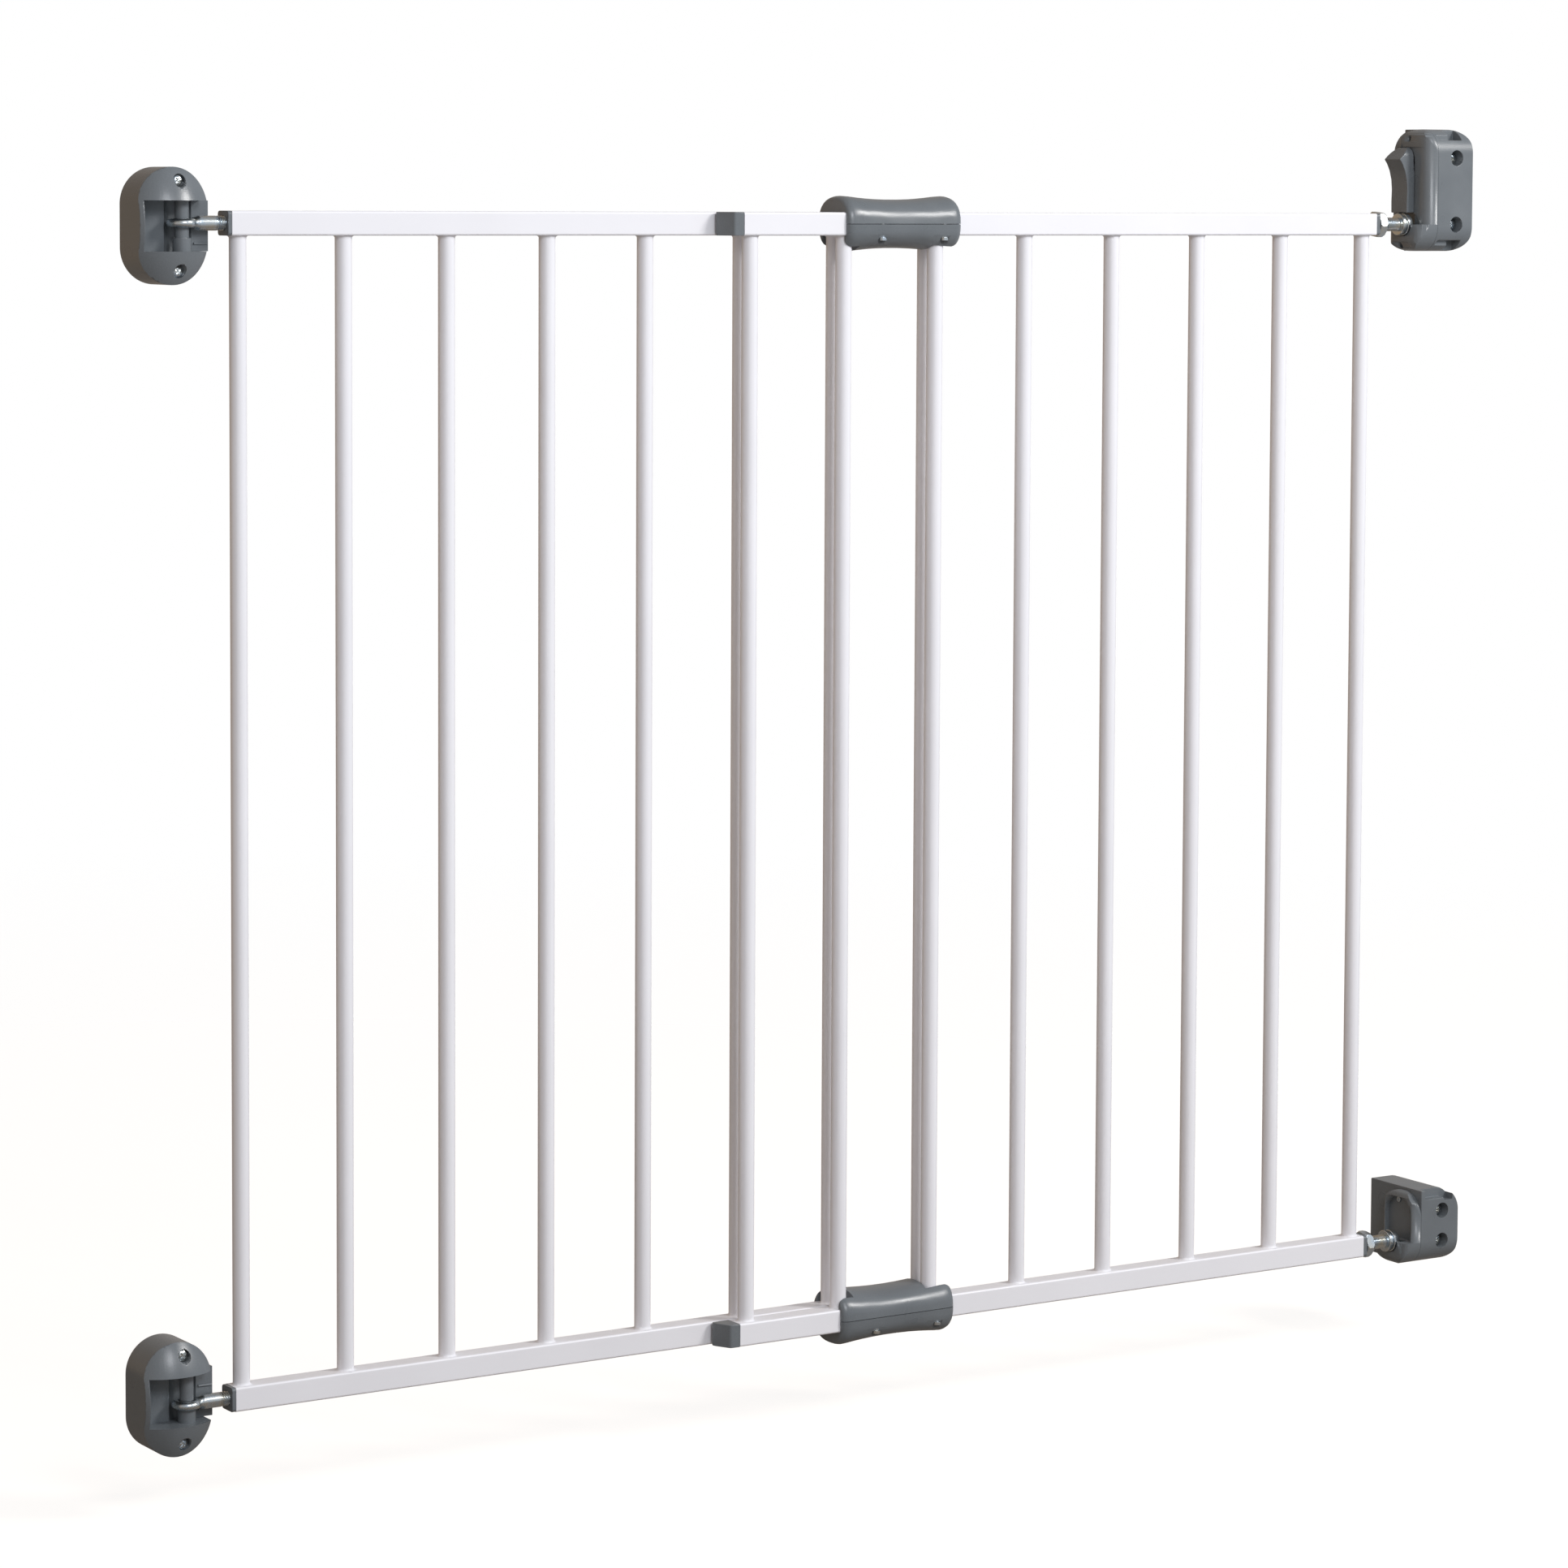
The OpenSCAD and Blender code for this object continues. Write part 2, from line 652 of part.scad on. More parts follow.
hinge_housing(top_bracket_z);  // hinge_top_housing
hinge_pin(top_bracket_z);  // hinge_top_pin
hinge_screws(top_bracket_z);  // hinge_top_screws
hinge_housing(0);  // hinge_bottom_housing
hinge_pin(0);  // hinge_bottom_pin
hinge_screws(0);  // hinge_bottom_screws
latch_top_block();
latch_top_cover();
latch_screws(latch_bottom_z, [18.5, 64.5]);  // latch_top_screws
latch_top_cover_screws();
latch_bottom_block();
latch_bottom_cover();
latch_screws(low_latch_z, [16, 37.5]);  // latch_bottom_screws
latch_bottom_cover_screws();
latch_slider();
eye_bush(top_z);  // eye_top_bush
eye_bush(low_z);  // eye_bottom_bush
eye_bolt(top_z);  // eye_bolt_top
eye_bolt(low_z);  // eye_bolt_bottom
hinge_plug(top_z);  // hinge_plug_top
hinge_plug(low_z);  // hinge_plug_bottom
hinge_rail(top_z);  // hinge_rail_top
hinge_rail(low_z);  // hinge_rail_bottom
hinge_bar(0);  // hinge_bar_1
hinge_bar(1);  // hinge_bar_2
hinge_bar(2);  // hinge_bar_3
hinge_bar(3);  // hinge_bar_4
hinge_bar(4);  // hinge_bar_5
hinge_bar(5);  // hinge_bar_6
hinge_bar(6);  // hinge_bar_7
hinge_bar(7);  // hinge_bar_8
joiner_half(top_z, -1, 1);  // joiner_top_upper
joiner_half(top_z, -1, -1);  // joiner_top_lower
joiner_half(low_z, 1, 1);  // joiner_bottom_upper
joiner_half(low_z, 1, -1);  // joiner_bottom_lower
joiner_screws(top_z);  // joiner_top_screws
joiner_screws(low_z);  // joiner_bottom_screws
latch_rail(top_z);  // latch_rail_top
latch_rail(low_z);  // latch_rail_bottom
latch_bar(0);  // latch_bar_1
latch_bar(1);  // latch_bar_2
latch_bar(2);  // latch_bar_3
latch_bar(3);  // latch_bar_4
latch_bar(4);  // latch_bar_5
latch_bar(5);  // latch_bar_6
latch_bar(6);  // latch_bar_7
latch_bar(7);  // latch_bar_8
slide_cap(top_z);  // slide_cap_top
slide_cap(low_z);  // slide_cap_bottom
latch_plug(top_z);  // latch_plug_top
latch_plug(low_z);  // latch_plug_bottom
lock_nut(top_z);  // lock_nut_top
lock_nut(low_z);  // lock_nut_bottom
stud(top_z);  // stud_top
stud(low_z);  // stud_bottom
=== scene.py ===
# %% [markdown]
# # An extending safety gate, dressed around its CAD frame
# The gate is two panels of white powder-coated steel, hung on a wall by grey moulded brackets.
# Its exact shape comes from CAD, so the first step only loads that frame. Everything made here
# is a skin or a fitting that sits where the CAD says.

# %% Load the frame
import json
import math
import bmesh
import bpy
from mathutils import Matrix, Vector

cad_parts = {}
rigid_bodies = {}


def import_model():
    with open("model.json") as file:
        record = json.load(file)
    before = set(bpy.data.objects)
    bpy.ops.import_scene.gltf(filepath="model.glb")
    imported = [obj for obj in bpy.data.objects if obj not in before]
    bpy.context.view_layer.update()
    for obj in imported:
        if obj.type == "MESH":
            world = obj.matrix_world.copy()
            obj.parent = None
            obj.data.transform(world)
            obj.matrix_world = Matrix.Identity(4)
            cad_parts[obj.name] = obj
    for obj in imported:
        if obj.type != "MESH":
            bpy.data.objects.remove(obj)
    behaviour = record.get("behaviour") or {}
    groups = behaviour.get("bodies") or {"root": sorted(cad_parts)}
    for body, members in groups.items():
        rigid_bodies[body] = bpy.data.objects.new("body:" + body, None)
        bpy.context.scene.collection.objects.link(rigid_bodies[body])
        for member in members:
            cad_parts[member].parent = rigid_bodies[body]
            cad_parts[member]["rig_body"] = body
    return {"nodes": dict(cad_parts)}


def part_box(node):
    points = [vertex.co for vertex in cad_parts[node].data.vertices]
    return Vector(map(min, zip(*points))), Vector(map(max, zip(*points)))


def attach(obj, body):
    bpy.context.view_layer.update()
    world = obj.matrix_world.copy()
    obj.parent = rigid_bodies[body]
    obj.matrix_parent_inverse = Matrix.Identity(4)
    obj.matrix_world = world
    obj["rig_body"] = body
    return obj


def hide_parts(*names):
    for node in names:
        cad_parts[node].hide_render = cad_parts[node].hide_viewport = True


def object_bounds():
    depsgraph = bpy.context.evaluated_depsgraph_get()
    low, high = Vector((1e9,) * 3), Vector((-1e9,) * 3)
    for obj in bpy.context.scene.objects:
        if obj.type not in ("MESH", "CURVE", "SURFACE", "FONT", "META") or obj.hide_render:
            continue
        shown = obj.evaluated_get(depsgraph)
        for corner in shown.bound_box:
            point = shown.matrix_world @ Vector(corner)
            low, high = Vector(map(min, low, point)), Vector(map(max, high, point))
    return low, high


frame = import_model()
nodes = frame["nodes"]
cad_box = [list(corner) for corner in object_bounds()]
MM = 0.001

# %% [markdown]
# ## The camera
# The gate is seen from its hinge side, a little above its top rail, through a long lens.
# A camera is placed by a matrix whose columns are its right, its up and its backward direction.
# A small downward shift of the lens frames the whole gate without tilting the upright bars.

# %% Camera
CAMERA_PLACE = (-1.2283, -2.658, 0.728)
SENSOR_MM, LENS_MM, LENS_SHIFT = 36, 110.95, -0.16
turn, tilt, roll = math.radians(32.18), math.radians(3.986), math.radians(-0.259)
level = math.cos(tilt)
forward = Vector((math.sin(turn) * level, math.cos(turn) * level, -math.sin(tilt)))
level_right = Vector((math.cos(turn), -math.sin(turn), 0))
level_down = forward.cross(level_right)
right = math.cos(roll) * level_right + math.sin(roll) * level_down
up = math.sin(roll) * level_right - math.cos(roll) * level_down
lens = bpy.data.cameras.new("camera")
lens.sensor_width, lens.lens, lens.shift_y = SENSOR_MM, LENS_MM, LENS_SHIFT
camera = bpy.data.objects.new("camera", lens)
bpy.context.scene.collection.objects.link(camera)
turned_to = Matrix((right, up, -forward)).transposed().to_4x4()
camera.matrix_world = Matrix.Translation(CAMERA_PLACE) @ turned_to
bpy.context.scene.camera = camera
bpy.context.scene.view_settings.view_transform = "Standard"
print("camera at", [round(v, 3) for v in camera.location])

# %% [markdown]
# ## Adding nodes
# Materials, the world and Geometry Nodes are all node trees. One small helper adds a node, sets
# its settings and fills its inputs: an input given a socket is linked, and one given a number,
# colour or vector is typed in.

# %% Node helper and colours
def add(tree, kind, inputs=None, **settings):
    node = tree.nodes.new(kind)
    for name, value in settings.items():
        setattr(node, name, value)
    for key, value in (inputs or {}).items():
        if isinstance(value, bpy.types.NodeSocket):
            tree.links.new(value, node.inputs[key])
        else:
            node.inputs[key].default_value = value
    return node


def linear(hex_colour):
    parts = [int(hex_colour[i:i + 2], 16) / 255 for i in (1, 3, 5)]
    return tuple(c / 12.92 if c <= 0.04045 else ((c + 0.055) / 1.055) ** 2.4 for c in parts) + (1,)


print("white powder in linear light:", [round(c, 3) for c in linear("#F1F0F4")])

# %% [markdown]
# ## Floor and light
# A plain pale floor lies under the gate, and fades out far away. Two soft lamps light the gate:
# a smaller one to the right gives the edges their bright lines, and a broad one in front fills
# the screw wells. The world stands for the room: cool and pale in front, dimmer and warmer on
# the left and behind, as with a wooden floor, and plain white where the camera looks at it.

# %% World
world = bpy.data.worlds.new("studio")
bpy.context.scene.world = world
world.use_nodes = True
sky = world.node_tree
sky.nodes.clear()
way = add(sky, "ShaderNodeTexCoord").outputs["Generated"]
COOL_SIDE = (0.62, -0.78, 0.0)
WARM_ROOM, COOL_ROOM = linear("#D3B799"), linear("#E9F0F8")
SIDE_STRENGTH, TOP_STRENGTH = 0.62, 0.40
to_front = add(sky, "ShaderNodeVectorMath", {0: way, 1: COOL_SIDE}, operation="DOT_PRODUCT")
coolness = add(sky, "ShaderNodeMapRange", {
    "Value": to_front.outputs["Value"], "From Min": -0.9, "From Max": 0.5})
room = add(sky, "ShaderNodeMix", {
    "Factor": coolness.outputs[0], "A": WARM_ROOM, "B": COOL_ROOM}, data_type="RGBA")
height = add(sky, "ShaderNodeSeparateXYZ", {0: way})
from_above = add(sky, "ShaderNodeMapRange", {
    "Value": height.outputs["Z"], "From Min": 0.1, "From Max": 1.0,
    "To Min": SIDE_STRENGTH, "To Max": TOP_STRENGTH})
fill = add(sky, "ShaderNodeBackground", {
    "Color": room.outputs["Result"], "Strength": from_above.outputs[0]})
white = add(sky, "ShaderNodeBackground", {"Color": (1, 1, 1, 1), "Strength": 1.0})
seen = add(sky, "ShaderNodeLightPath").outputs["Is Camera Ray"]
both = add(sky, "ShaderNodeMixShader", {0: seen, 1: fill.outputs[0], 2: white.outputs[0]})
add(sky, "ShaderNodeOutputWorld", {0: both.outputs[0]})
print("world ready")

# %% Lamps
low_corner, high_corner = cad_box
gate_middle = Vector((
    (low_corner[0] + high_corner[0]) / 2, 0, (low_corner[2] + high_corner[2]) / 2))


def lamp(name, aside, above, distance, size, watts, colour):
    """A round soft lamp, placed by its angles in degrees from straight in front of the gate."""
    light = bpy.data.lights.new(name, "AREA")
    light.shape, light.size = "DISK", size
    light.energy, light.color = watts, linear(colour)[:3]
    obj = bpy.data.objects.new(name, light)
    bpy.context.scene.collection.objects.link(obj)
    across, up_by = math.radians(aside), math.radians(above)
    reach = math.cos(up_by)
    out = Vector((math.sin(across) * reach, -math.cos(across) * reach, math.sin(up_by)))
    obj.matrix_world = (Matrix.Translation(gate_middle + distance * out)
                        @ (-out).to_track_quat("-Z", "Y").to_matrix().to_4x4())


lamp("key", 40, 33, 3.1, 0.8, 50, "#FFFDFB")
lamp("front", -10, 30, 2.9, 0.9, 24, "#F8FAFF")

# %% Floor
FLOOR_MIDDLE, FLOOR_RADIUS = (0.45, 0, -0.075), 9.0
FADE_FROM, FADE_TO = 0.8, 3.0
PAPER_GLOW = 0.85
floor_mesh = bpy.data.meshes.new("floor")
build = bmesh.new()
bmesh.ops.create_circle(build, cap_ends=True, segments=96, radius=FLOOR_RADIUS,
                        matrix=Matrix.Translation(FLOOR_MIDDLE))
build.to_mesh(floor_mesh)
build.free()
floor = bpy.data.objects.new("floor", floor_mesh)
bpy.context.scene.collection.objects.link(floor)
pale = bpy.data.materials.new("pale_matt_floor")
pale.use_nodes = True
tree = pale.node_tree
tree.nodes.clear()
place = add(tree, "ShaderNodeTexCoord").outputs["Object"]
out_to = add(tree, "ShaderNodeVectorMath", {0: place}, operation="LENGTH")
fade = add(tree, "ShaderNodeMapRange", {
    "Value": out_to.outputs["Value"], "From Min": FADE_FROM, "From Max": FADE_TO})
matt = add(tree, "ShaderNodeBsdfDiffuse", {"Color": linear("#948C84")})
# a little glow for the camera only, as of a sweep of paper lit on its own
by_eye = add(tree, "ShaderNodeLightPath").outputs["Is Camera Ray"]
glow_strength = add(tree, "ShaderNodeMath", {0: by_eye, 1: PAPER_GLOW}, operation="MULTIPLY")
glow = add(tree, "ShaderNodeEmission", {"Color": (1, 1, 1, 1), "Strength": glow_strength.outputs[0]})
lit = add(tree, "ShaderNodeAddShader", {0: matt.outputs[0], 1: glow.outputs[0]})
clear = add(tree, "ShaderNodeBsdfTransparent")
paint = add(tree, "ShaderNodeMixShader", {0: fade.outputs[0], 1: lit.outputs[0], 2: clear.outputs[0]})
add(tree, "ShaderNodeOutputMaterial", {0: paint.outputs[0]})
floor_mesh.materials.append(pale)
print("floor at", round(floor_mesh.vertices[0].co.z, 3), "m")

# %% [markdown]
# ## White powder coat on steel
# Polyester powder is sprayed on the welded panels and baked, so it flows into a skin with a
# fine orange-peel wave about 1.6 mm long. The wave is only a few thousandths of a millimetre
# high, so it shows in the gloss and not in the colour. A clear dielectric with IOR 1.5.

# %% Powder coat
def new_material(name):
    material = bpy.data.materials.new(name)
    material.use_nodes = True
    material.node_tree.nodes.clear()
    return material, material.node_tree


def finish_material(tree, shader):
    add(tree, "ShaderNodeOutputMaterial", {0: shader.outputs[0]})


powder_coat, tree = new_material("white_polyester_powder_coat")
place = add(tree, "ShaderNodeTexCoord").outputs["Object"]
# orange peel: one wave each 1.6 mm is 625 waves a metre
peel = add(tree, "ShaderNodeTexNoise", {
    "Vector": place, "Scale": 625.0, "Detail": 1.5, "Roughness": 0.45})
peel_bump = add(tree, "ShaderNodeBump", {
    "Strength": 0.16, "Distance": 0.05 * MM, "Height": peel.outputs[0]})
# thickness of the powder: slow drifts over 60 mm
drift = add(tree, "ShaderNodeTexNoise", {"Vector": place, "Scale": 16.0, "Detail": 2.0})
tone = add(tree, "ShaderNodeMix", {
    "Factor": drift.outputs[0], "A": linear("#EDECF0"), "B": linear("#F4F3F7")}, data_type="RGBA")
gloss = add(tree, "ShaderNodeMapRange", {"Value": drift.outputs[0], "To Min": 0.30, "To Max": 0.40})
finish_material(tree, add(tree, "ShaderNodeBsdfPrincipled", {
    "Base Color": tone.outputs["Result"], "Roughness": gloss.outputs[0], "IOR": 1.5,
    "Normal": peel_bump.outputs[0]}))
print("powder coat nodes:", len(tree.nodes))

# %% [markdown]
# ## Grey moulded nylon
# The brackets, joiners, plugs and caps are injection-moulded glass-filled nylon. The mould was
# spark-eroded, which leaves an even grain of shallow pits about 0.35 mm apart. The grain is drawn
# at 0.5 mm, a little coarser, so that it still shows. It breaks up highlights into a satin sheen.

# %% Moulded nylon
def moulded_nylon(name, dark_hex, light_hex, rough_low, rough_high):
    material, tree = new_material(name)
    place = add(tree, "ShaderNodeTexCoord").outputs["Object"]
    # pits of 0.5 mm are 2000 a metre
    pits = add(tree, "ShaderNodeTexVoronoi", {
        "Vector": place, "Scale": 2000.0, "Randomness": 1.0}, feature="SMOOTH_F1")
    grain = add(tree, "ShaderNodeTexNoise", {
        "Vector": place, "Scale": 1500.0, "Detail": 3.0, "Roughness": 0.6})
    height = add(tree, "ShaderNodeMath", {
        0: pits.outputs["Distance"], 1: grain.outputs[0]}, operation="ADD")
    bump = add(tree, "ShaderNodeBump", {
        "Strength": 0.35, "Distance": 0.06 * MM, "Height": height.outputs[0]})
    # melt flow leaves soft clouds about 25 mm across
    clouds = add(tree, "ShaderNodeTexNoise", {"Vector": place, "Scale": 40.0, "Detail": 2.0})
    mixed = add(tree, "ShaderNodeMath", {
        0: clouds.outputs[0], 1: grain.outputs[0]}, operation="MULTIPLY")
    tone = add(tree, "ShaderNodeMapRange", {
        "Value": mixed.outputs[0], "From Min": 0.05, "From Max": 0.50})
    colour = add(tree, "ShaderNodeMix", {
        "Factor": tone.outputs[0], "A": linear(dark_hex), "B": linear(light_hex)}, data_type="RGBA")
    rough = add(tree, "ShaderNodeMapRange", {
        "Value": clouds.outputs[0], "From Min": 0.3, "From Max": 0.7,
        "To Min": rough_low, "To Max": rough_high})
    finish_material(tree, add(tree, "ShaderNodeBsdfPrincipled", {
        "Base Color": colour.outputs["Result"], "Roughness": rough.outputs[0], "IOR": 1.53,
        "Normal": bump.outputs[0]}))
    return material


grey_nylon = moulded_nylon("grey_spark_eroded_nylon", "#666B6F", "#74797D", 0.26, 0.36)
bush_nylon = moulded_nylon("dark_bush_nylon", "#2E2F31", "#37393B", 0.38, 0.46)
print("nylons:", grey_nylon.name, bush_nylon.name)

# %% [markdown]
# ## Bright zinc plate
# Eye bolts, studs, nuts and screws are steel with bright zinc and a thin blue passivation film.
# The film's thickness wanders, so the steel blue turns faintly to straw in places. Zinc is a
# metal: full metallic, its default IOR, and a roughness near 0.25 from the barrel plating.

# %% Zinc plate
zinc_plate, tree = new_material("blue_passivated_zinc_plate")
place = add(tree, "ShaderNodeTexCoord").outputs["Object"]
film = add(tree, "ShaderNodeTexNoise", {
    "Vector": place, "Scale": 130.0, "Detail": 3.0, "Distortion": 0.8})
film_tone = add(tree, "ShaderNodeMapRange", {
    "Value": film.outputs[0], "From Min": 0.38, "From Max": 0.66})
zinc_colour = add(tree, "ShaderNodeMix", {
    "Factor": film_tone.outputs[0], "A": linear("#C9D3DC"), "B": linear("#D6D5CD")},
    data_type="RGBA")
# tool marks: fine grain of 0.25 mm, 4000 a metre
marks = add(tree, "ShaderNodeTexNoise", {"Vector": place, "Scale": 4000.0, "Detail": 2.0})
mark_bump = add(tree, "ShaderNodeBump", {
    "Strength": 0.12, "Distance": 0.03 * MM, "Height": marks.outputs[0]})
zinc_rough = add(tree, "ShaderNodeMapRange", {
    "Value": marks.outputs[0], "To Min": 0.20, "To Max": 0.32})
finish_material(tree, add(tree, "ShaderNodeBsdfPrincipled", {
    "Base Color": zinc_colour.outputs["Result"], "Metallic": 1.0, "Roughness": zinc_rough.outputs[0],
    "Normal": mark_bump.outputs[0]}))
print("zinc nodes:", len(tree.nodes))

# %% [markdown]
# ## Rails
# The square rails are drawn tube, and the CAD shape is already right. A CAD mesh is never
# changed, so they only get a better material on their slots.


def dress(node, material):
    for slot in nodes[node].material_slots:
        slot.material = material


rails = ["hinge_rail_top", "hinge_rail_bottom", "latch_rail_top", "latch_rail_bottom"]
for node in rails:
    dress(node, powder_coat)
print("rails dressed:", len(rails))

# %% [markdown]
# ## Bars and their welds
# Each panel has eight round bars at an even pitch, so one tree of Geometry Nodes makes a row:
# a cylinder, copied along a line. The bars are welded to the rails and coated together, so each
# end flares into a small uneven fillet. Rings are crowded toward the ends to carry that flare.

# %% Tree for a row of welded bars
def new_geometry_tree(name, sockets):
    tree = bpy.data.node_groups.new(name, "GeometryNodeTree")
    for label, kind in sockets:
        tree.interface.new_socket(label, in_out="INPUT", socket_type=kind)
    tree.interface.new_socket("Geometry", in_out="OUTPUT", socket_type="NodeSocketGeometry")
    return tree, add(tree, "NodeGroupInput")


def math_node(tree, operation, *values, clamp=False):
    node = add(tree, "ShaderNodeMath", dict(enumerate(values)), operation=operation, use_clamp=clamp)
    return node.outputs[0]


F, V, I, M = "NodeSocketFloat", "NodeSocketVector", "NodeSocketInt", "NodeSocketMaterial"
bar_tree, given = new_geometry_tree("welded_bar_row", [
    ("Count", I), ("Pitch", F), ("Start", V), ("Length", F), ("Diameter", F), ("Weld", F),
    ("Seed", I), ("Finish", M)])
get = given.outputs
radius = math_node(bar_tree, "MULTIPLY", get["Diameter"], 0.5)
tube = add(bar_tree, "GeometryNodeMeshCylinder", {
    "Vertices": 40, "Side Segments": 64, "Radius": radius, "Depth": get["Length"]}, fill_type="NONE")
here = add(bar_tree, "GeometryNodeInputPosition").outputs[0]
part = add(bar_tree, "ShaderNodeSeparateXYZ", {0: here})
half = math_node(bar_tree, "MULTIPLY", get["Length"], 0.5)
share = math_node(bar_tree, "DIVIDE", part.outputs["Z"], half)
to_end = math_node(bar_tree, "SUBTRACT", 1.0, math_node(bar_tree, "ABSOLUTE", share))
gap = math_node(bar_tree, "MULTIPLY", math_node(bar_tree, "POWER", to_end, 3.0), half)
new_z = math_node(bar_tree, "MULTIPLY", math_node(bar_tree, "SIGN", share),
                  math_node(bar_tree, "SUBTRACT", half, gap))
moved = add(bar_tree, "ShaderNodeCombineXYZ", {
    "X": part.outputs["X"], "Y": part.outputs["Y"], "Z": new_z})
crowded = add(bar_tree, "GeometryNodeSetPosition", {
    "Geometry": tube.outputs["Mesh"], "Position": moved.outputs[0]})
far_x = math_node(bar_tree, "MULTIPLY", math_node(bar_tree, "SUBTRACT", get["Count"], 1), get["Pitch"])
whole_row = add(bar_tree, "ShaderNodeCombineXYZ", {"X": far_x})
line_end = add(bar_tree, "ShaderNodeVectorMath", {
    0: get["Start"], 1: whole_row.outputs[0]}, operation="ADD")
line = add(bar_tree, "GeometryNodeMeshLine", {
    "Count": get["Count"], "Start Location": get["Start"], "Offset": line_end.outputs[0]},
    mode="END_POINTS")
row = add(bar_tree, "GeometryNodeInstanceOnPoints", {
    "Points": line.outputs[0], "Instance": crowded.outputs[0]})
real = add(bar_tree, "GeometryNodeRealizeInstances", {0: row.outputs[0]})
# the weld fillet: a hollow quarter circle, made uneven by noise
middle_part = add(bar_tree, "ShaderNodeSeparateXYZ", {0: get["Start"]})
spot = add(bar_tree, "GeometryNodeInputPosition").outputs[0]
spot_part = add(bar_tree, "ShaderNodeSeparateXYZ", {0: spot})
from_mid = math_node(bar_tree, "SUBTRACT", spot_part.outputs["Z"], middle_part.outputs["Z"])
off_mid = math_node(bar_tree, "ABSOLUTE", from_mid)
above_rail = math_node(bar_tree, "SUBTRACT", half, off_mid)
lump = add(bar_tree, "ShaderNodeTexNoise", {
    "Vector": spot, "Scale": 260.0, "Detail": 1.0, "W": get["Seed"]}, noise_dimensions="4D")
unevenness = math_node(bar_tree, "MULTIPLY_ADD", lump.outputs[0], 1.6, 0.2)
size = math_node(bar_tree, "MULTIPLY", get["Weld"], unevenness)
climb = math_node(bar_tree, "DIVIDE", above_rail, size)
hollow = math_node(bar_tree, "SUBTRACT", 1.0, climb, clamp=True)
squared = math_node(bar_tree, "POWER", hollow, 2.0)
root = math_node(bar_tree, "SQRT", math_node(bar_tree, "SUBTRACT", 1.0, squared))
flare = math_node(bar_tree, "MULTIPLY", size, math_node(bar_tree, "SUBTRACT", 1.0, root))
out_way = add(bar_tree, "GeometryNodeInputNormal").outputs[0]
push = add(bar_tree, "ShaderNodeVectorMath", {0: out_way, "Scale": flare}, operation="SCALE")
welded = add(bar_tree, "GeometryNodeSetPosition", {
    "Geometry": real.outputs[0], "Offset": push.outputs[0]})
smooth = add(bar_tree, "GeometryNodeSetShadeSmooth", {0: welded.outputs[0]})
coated = add(bar_tree, "GeometryNodeSetMaterial", {
    "Geometry": smooth.outputs[0], "Material": get["Finish"]})
add(bar_tree, "NodeGroupOutput", {0: coated.outputs[0]})
print("bar tree nodes:", len(bar_tree.nodes))

# %% [markdown]
# ## Running a tree
# A tree runs as a modifier on an empty mesh. Its inputs are set by each socket's identifier,
# before anything looks at the result, and the evaluated mesh is then kept as plain geometry.

# %% Run a tree and keep the mesh
def keep_evaluated(obj):
    depsgraph = bpy.context.evaluated_depsgraph_get()
    mesh = bpy.data.meshes.new_from_object(obj.evaluated_get(depsgraph))
    obj.modifiers.clear()
    obj.data = mesh
    mesh.name = obj.name
    return obj


def grow(name, tree, **values):
    obj = bpy.data.objects.new(name, bpy.data.meshes.new(name))
    bpy.context.scene.collection.objects.link(obj)
    modifier = obj.modifiers.new(name, "NODES")
    modifier.node_group = tree
    for item in tree.interface.items_tree:
        key = item.name.lower().replace(" ", "_")
        if item.in_out == "INPUT" and key in values:
            modifier[item.identifier] = values[key]
    return keep_evaluated(obj)


def seat(obj, body, material, *replaced):
    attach(obj, body)
    if replaced:
        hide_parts(*replaced)
    return obj


# %% The two rows of bars
BARS = 8
WELD = 1.5 * MM
for side, seed in (("hinge", 3), ("latch", 8)):
    lo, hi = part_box(f"{side}_bar_1")
    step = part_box(f"{side}_bar_2")[0].x - lo.x
    rail_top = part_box(f"{side}_rail_bottom")[1].z
    rail_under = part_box(f"{side}_rail_top")[0].z
    middle = (lo + hi) / 2
    middle.z = (rail_top + rail_under) / 2
    row = grow(f"{side}_panel_bars", bar_tree, count=BARS, pitch=step, start=middle,
               length=rail_under - rail_top, diameter=hi.x - lo.x, weld=WELD, seed=seed,
               finish=powder_coat)
    seat(row, "gate", powder_coat, *[f"{side}_bar_{i}" for i in range(1, BARS + 1)])
    print(row.name, "faces:", len(row.data.polygons), "pitch mm:", round(step / MM, 1))

# %% [markdown]
# ## Moulded and turned parts from the CAD
# The remaining CAD shapes are right but mostly razor-sharp, and no mould makes a sharp edge. A
# copy is merged into one skin, its flat areas are joined, its edges are rounded with a Bevel, and
# its curved faces are shaded smooth while real edges stay crisp. The housings, the covers and the
# joiners are already rounded in the CAD, so they get a radius of 0: only their shading changes.

# %% Rounded copy of a CAD node
MERGE = 0.004 * MM
FLAT = math.radians(0.6)


